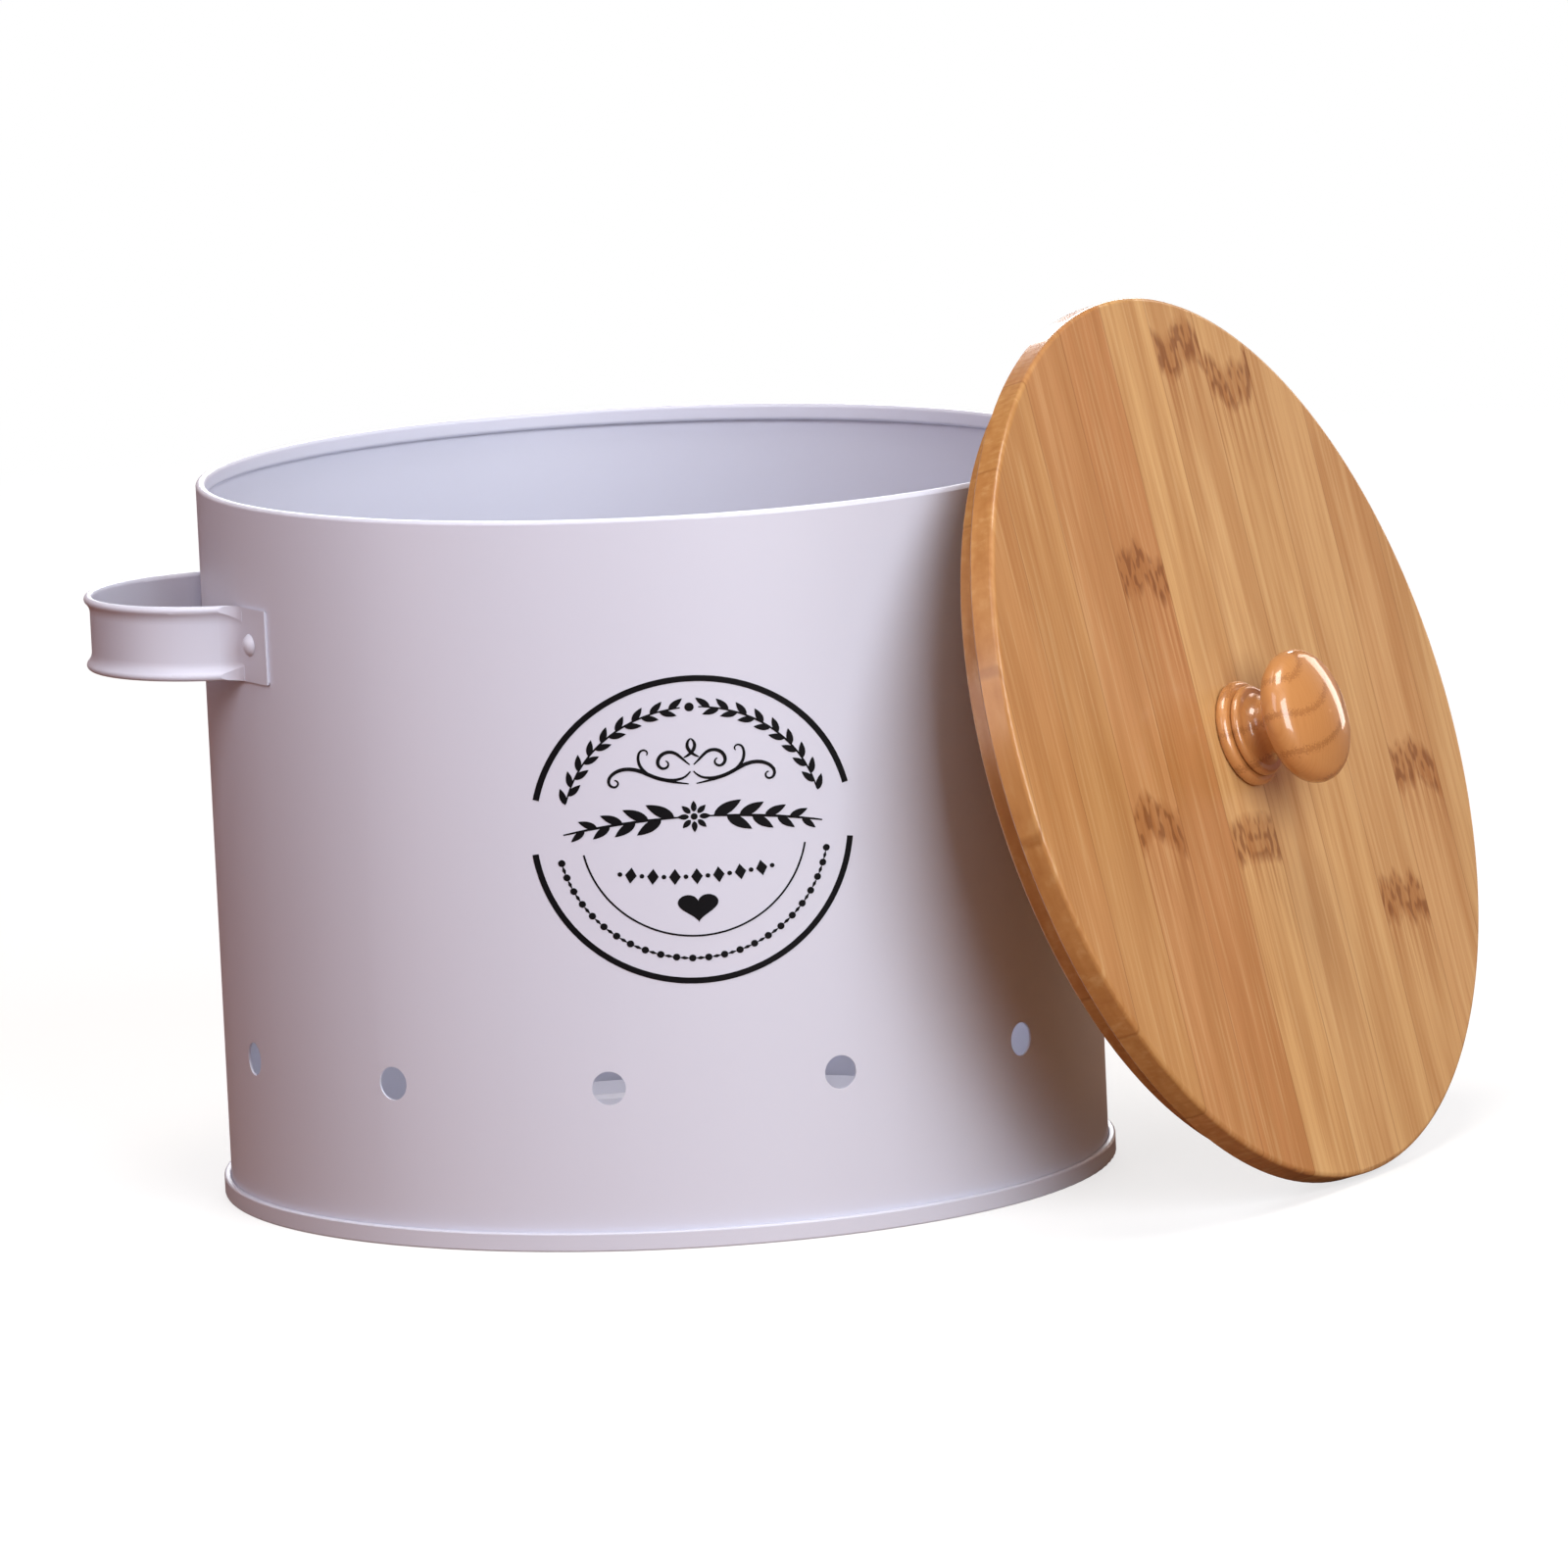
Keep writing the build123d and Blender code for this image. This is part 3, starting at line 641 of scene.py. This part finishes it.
ink, tree = new_material("black screen-printing ink")
mesh_marks = noise(tree, MESH_MARK, 2.0)
ink_sockets = {
    "Base Color": tint(tree, mesh_marks, srgb("060609"), srgb("101014")),
    "Roughness": ramp(tree, mesh_marks, 0.3, 0.7, 0.50, 0.62),
    "Specular IOR Level": 0.1,
}
finish_material(tree, add(tree, "ShaderNodeBsdfPrincipled", ink_sockets))
print("mesh marks of", round(MESH_MARK / MM, 1), "mm")

# %% [markdown]
# To use the arc row, a motif's outline becomes a mesh for a moment and gets the node tree as a
# modifier. What the modifier makes is added to the flat drawing, and the moment's mesh goes.


# %% Setting out a row
def set_out(
    flat, motif, count, radius, first, last, turn=0, lean=0, taper=0, middle=0, mirrored=False
):
    """Runs the arc row on a motif's outline and adds the result to a flat drawing. The arc's
    centre lies at a height of middle, and the angles are in degrees."""
    shape = bmesh.new()
    blot(shape, motif)
    mesh = bpy.data.meshes.new("motif")
    shape.to_mesh(mesh)
    shape.free()
    carrier = new_object("motif", mesh)
    modifier = carrier.modifiers.new("arc row", "NODES")
    modifier.node_group = arc_row
    values = {
        "Count": count,
        "Radius": float(radius),
        "First angle": radians(first),
        "Last angle": radians(last),
        "Turn": radians(turn),
        "Lean": radians(lean),
        "Taper": float(taper),
        "Ink": ink,
    }
    for socket in arc_row.interface.items_tree:
        if socket.name in values:
            modifier[socket.identifier] = values[socket.name]
    evaluated = carrier.evaluated_get(bpy.context.evaluated_depsgraph_get())
    row = bpy.data.meshes.new_from_object(evaluated)
    bpy.data.objects.remove(carrier)
    row.transform(Matrix.Translation((0, middle, 0)))
    flat.from_mesh(row)
    if mirrored:
        row.transform(Matrix.Scale(-1, 4, (1, 0, 0)))
        flat.from_mesh(row)


print("rows are set out by", arc_row.name)

# %% [markdown]
# Screen ink is a skin less than a tenth of a millimetre thick above the paint. A picture on the
# wall would blur up close, so the ink is a real skin. The flat drawing is cut into narrow upright
# bands, so that it can follow the round wall, and is then wrapped round it.

# %% Ink on the wall
WALL_RADIUS = 120 * MM
EMBLEM_ANGLE = radians(-92.6)     # compass angle of the emblem's middle
EMBLEM_HEIGHT = 111.8 * MM
EMBLEM_STRETCH = (1.04, 0.974)    # the screen's stretch, along and up the wall
INK_ROOT, INK_LIFT = 0.05, 0.08   # millimetres into and out of the wall
BAND = 2.0                        # millimetres between two cuts


def print_on_wall(name, flat):
    """Wraps a flat drawing round the wall as a thin closed skin of ink."""
    bmesh.ops.triangulate(flat, faces=flat.faces[:])
    bmesh.ops.scale(flat, vec=(*EMBLEM_STRETCH, 1), verts=flat.verts[:])
    reach = max(abs(vert.co.x) for vert in flat.verts)
    for i in range(-ceil(reach / BAND), ceil(reach / BAND) + 1):
        everything = flat.verts[:] + flat.edges[:] + flat.faces[:]
        bmesh.ops.bisect_plane(flat, geom=everything, plane_co=(i * BAND, 0, 0), plane_no=(1, 0, 0))
    for vert in flat.verts:
        vert.co.z = -INK_ROOT
    top = bmesh.ops.extrude_face_region(flat, geom=flat.faces[:])["geom"]
    for vert in top:
        if isinstance(vert, bmesh.types.BMVert):
            vert.co.z = INK_LIFT
    bmesh.ops.recalc_face_normals(flat, faces=flat.faces[:])
    for vert in flat.verts:
        u, v, lift = vert.co * MM
        angle, radius = EMBLEM_ANGLE + u / WALL_RADIUS, WALL_RADIUS + lift
        vert.co = (radius * cos(angle), radius * sin(angle), EMBLEM_HEIGHT + v)
    mesh = bpy.data.meshes.new(name)
    flat.to_mesh(mesh)
    flat.free()
    mesh.materials.clear()
    mesh.materials.append(ink)
    made = new_object(name, mesh)
    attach(made, "tub")
    print(name, len(mesh.polygons), "faces")


print("ink stands", INK_LIFT, "mm out of the wall")

# %% [markdown]
# Besides its strokes the emblem is made of four outlines: a pointed leaf, a round dot, a diamond
# and a heart. They could be drawn point by point. The leaf and the heart follow formulas instead,
# so that their sizes can change and nothing has to be drawn again.

# %% Motifs
LEAF_STEPS = 9
DISC_CORNERS = 16
HEART_CORNERS = 48


def leaf(length, width):
    """A pointed leaf that grows from its stalk at the middle, along u."""
    edge = []
    for i in range(1, LEAF_STEPS):
        swell = sin(pi * (i / LEAF_STEPS) ** 0.8) ** 0.85
        edge.append((length * i / LEAF_STEPS, width / 2 * swell))
    return [(0, 0), *[(u, -v) for u, v in edge], (length, 0), *[(u, v) for u, v in reversed(edge)]]


def disc(radius, u=0.0, v=0.0):
    """A round dot with its middle at u and v."""
    turns = [2 * pi * i / DISC_CORNERS for i in range(DISC_CORNERS)]
    return [(u + radius * cos(turn), v + radius * sin(turn)) for turn in turns]


def diamond(width, height):
    return [(-width / 2, 0), (0, -height / 2), (width / 2, 0), (0, height / 2)]


def heart(width, height, middle):
    """A heart as one smooth outline, round its middle height."""
    outline = []
    for t in [2 * pi * i / HEART_CORNERS for i in range(HEART_CORNERS)]:
        rise = 13 * cos(t) - 5 * cos(2 * t) - 2 * cos(3 * t) - cos(4 * t)
        outline.append((16 * sin(t) ** 3, rise))
    return [(u * width / 32, middle + (v + 2.5) * height / 29) for u, v in outline]


print("a leaf has", len(leaf(4, 2)), "corners")

# %% [markdown]
# The emblem's frame is two bold arcs with a gap at each side, as on a round stamp, and a fine arc
# inside the lower one. A small heart stands within, near the bottom. Each kind of print is a
# piece of its own, so that it can be taken off or changed alone.

# %% Arcs and heart
BOLD_RADIUS, BOLD_WIDTH = 41.4, 1.65
FINE_RADIUS, FINE_WIDTH = 29.1, 0.5
UPPER_ARC = (13.2, 166.8)     # degrees, from the right and round to the left
LOWER_ARC = (-172.5, -7.5)
FINE_ARC = (-168.5, -11.5)
HEART_WIDTH, HEART_SIZE, HEART_MIDDLE = 10.4, 7.6, -21.6

flat = bmesh.new()
brush(flat, arc_path(BOLD_RADIUS, *UPPER_ARC), BOLD_WIDTH)
brush(flat, arc_path(BOLD_RADIUS, *LOWER_ARC), BOLD_WIDTH)
brush(flat, arc_path(FINE_RADIUS, *FINE_ARC), FINE_WIDTH)
print_on_wall("emblem_arcs", flat)

flat = bmesh.new()
blot(flat, heart(HEART_WIDTH, HEART_SIZE, HEART_MIDDLE))
print_on_wall("emblem_heart", flat)

# %% [markdown]
# Under the upper arc lies a laurel: two twigs whose leaves lean out to both sides in turn, with a
# berry between their tips. One side's leaves are set out, and the other side is their mirror
# image.

# %% Laurel
LAUREL_RADIUS = 33.6
LAUREL_LEAF = (4.6, 1.75)     # length and width
LAUREL_LEAVES = 17
LAUREL_ROOT, LAUREL_TIP = 14, 81             # degrees, where the first and last leaf stand
TWIGS = ((15, 86), (94, 165))
LEAF_LEAN = 30                # degrees
BERRY = 1.2

flat = bmesh.new()
leaves = {"lean": LEAF_LEAN, "mirrored": True}
set_out(flat, leaf(*LAUREL_LEAF), LAUREL_LEAVES, LAUREL_RADIUS, LAUREL_ROOT, LAUREL_TIP, **leaves)
for first, last in TWIGS:
    brush(flat, arc_path(LAUREL_RADIUS, first, last), 0.35, 0.5)
blot(flat, disc(BERRY, 0, LAUREL_RADIUS))
print_on_wall("emblem_laurel", flat)

# %% [markdown]
# The scrolls are four pen strokes and their mirror images. A stroke that bends more and more
# sharply ends in a curl, so a scroll takes a few numbers, where a hand-drawn curve would take
# many points.

# %% Scrolls
SCROLL_HEIGHT = 18.2
SCROLLS = [                   # start, facing, bends, and the brush's width at its ends and middle
    (
        (0.4, -2.2),
        -52,
        [(3.0, 0.10, 0.30), (9.5, 0.15, 0.02), (9.5, -0.06, -0.22), (7.0, -0.28, -1.3)],
        (0.35, 1.05),
    ),
    ((1.0, -5.6), 10, [(8.5, 0.0, 0.05), (8.5, 0.10, 0.24), (4.0, 0.42, 1.5)], (0.3, 0.85)),
    ((0.5, -0.4), 40, [(4.3, 0.10, -0.10), (6.3, -0.30, -0.36), (6.0, -0.45, -1.1)], (0.3, 0.95)),
    ((0.0, 6.8), -145, [(2.6, 0.42, 0.5), (4.2, 0.34, 0.10)], (0.3, 0.9)),
]

flat = bmesh.new()
for (u, v), facing, bends, (thin, thick) in SCROLLS:
    brush(flat, pen_path((u, v + SCROLL_HEIGHT), facing, bends), thin, thick, mirrored=True)
print_on_wall("emblem_scrolls", flat)

# %% [markdown]
# Across the middle lies a pair of sprigs, their leaves smaller towards the tips, with a rosette
# of eight petals between them. A sprig is a row on a very wide arc, so it is almost straight. The
# rosette is a row as well, on an arc so small that the petals meet.

# %% Sprigs and rosette
SPRIG_RADIUS = 150.0
SPRIG_HEIGHT = 3.6
SPRIG_LEAF = (8.2, 3.0)
SPRIG_LEAVES = 8
LEAVES_START, LEAVES_END = 5.0, 28.0         # millimetres right of the middle
STALK_START, STALK_END = 3.4, 33.5
PETAL = (3.0, 1.5)
PETALS, PETAL_ROOT, ROSETTE_EYE = 8, 1.3, 0.9


def sprig_angle(u):
    """The compass angle on the sprigs' wide arc that lies this far right of the middle."""
    return 90 - degrees(asin(u / SPRIG_RADIUS))


flat = bmesh.new()
sprig_middle = SPRIG_HEIGHT - SPRIG_RADIUS
first, last = sprig_angle(LEAVES_START), sprig_angle(LEAVES_END)
leaves = {"lean": LEAF_LEAN, "taper": 0.42, "middle": sprig_middle, "mirrored": True}
set_out(flat, leaf(*SPRIG_LEAF), SPRIG_LEAVES, SPRIG_RADIUS, first, last, **leaves)
stalk = arc_path(SPRIG_RADIUS, sprig_angle(STALK_START), sprig_angle(STALK_END))
brush(flat, [(u, v + sprig_middle) for u, v in stalk], 0.4, 0.7, mirrored=True)
last_petal = 360 - 360 / PETALS
set_out(flat, leaf(*PETAL), PETALS, PETAL_ROOT, 0, last_petal, turn=-90, middle=SPRIG_HEIGHT)
blot(flat, disc(ROSETTE_EYE, 0, SPRIG_HEIGHT))
print_on_wall("emblem_sprigs", flat)

# %% [markdown]
# Below the sprigs hangs a short garland of diamonds, with a dot between each two and at both
# ends. It is two rows on one arc, with the dots half a pitch off the diamonds.

# %% Garland
GARLAND_RADIUS = 130.0
GARLAND_HEIGHT = -12.8
DIAMOND, DOT = (3.0, 4.4), 0.62
DIAMONDS = 7
DIAMOND_PITCH = 5.6

flat = bmesh.new()
garland_middle = GARLAND_HEIGHT + GARLAND_RADIUS
step = degrees(DIAMOND_PITCH / GARLAND_RADIUS)
for motif, count in ((diamond(*DIAMOND), DIAMONDS), (disc(DOT), DIAMONDS + 1)):
    reach = (count - 1) / 2 * step
    set_out(flat, motif, count, GARLAND_RADIUS, -90 - reach, -90 + reach, middle=garland_middle)
print_on_wall("emblem_garland", flat)

# %% [markdown]
# Along the inside of the lower bold arc runs a string of round beads, with a slim diamond between
# each two. It is made like the garland, of two rows on one arc.

# %% Beads
BEAD_RADIUS = 35.2
BEAD, SLIM_DIAMOND = 0.95, (2.6, 0.9)
BEADS = 24
BEADS_START, BEADS_END = -167, -13           # degrees

flat = bmesh.new()
half_pitch = (BEADS_END - BEADS_START) / (2 * (BEADS - 1))
set_out(flat, disc(BEAD), BEADS, BEAD_RADIUS, BEADS_START, BEADS_END)
first, last = BEADS_START + half_pitch, BEADS_END - half_pitch
set_out(flat, diamond(*SLIM_DIAMOND), BEADS - 1, BEAD_RADIUS, first, last)
print_on_wall("emblem_beads", flat)
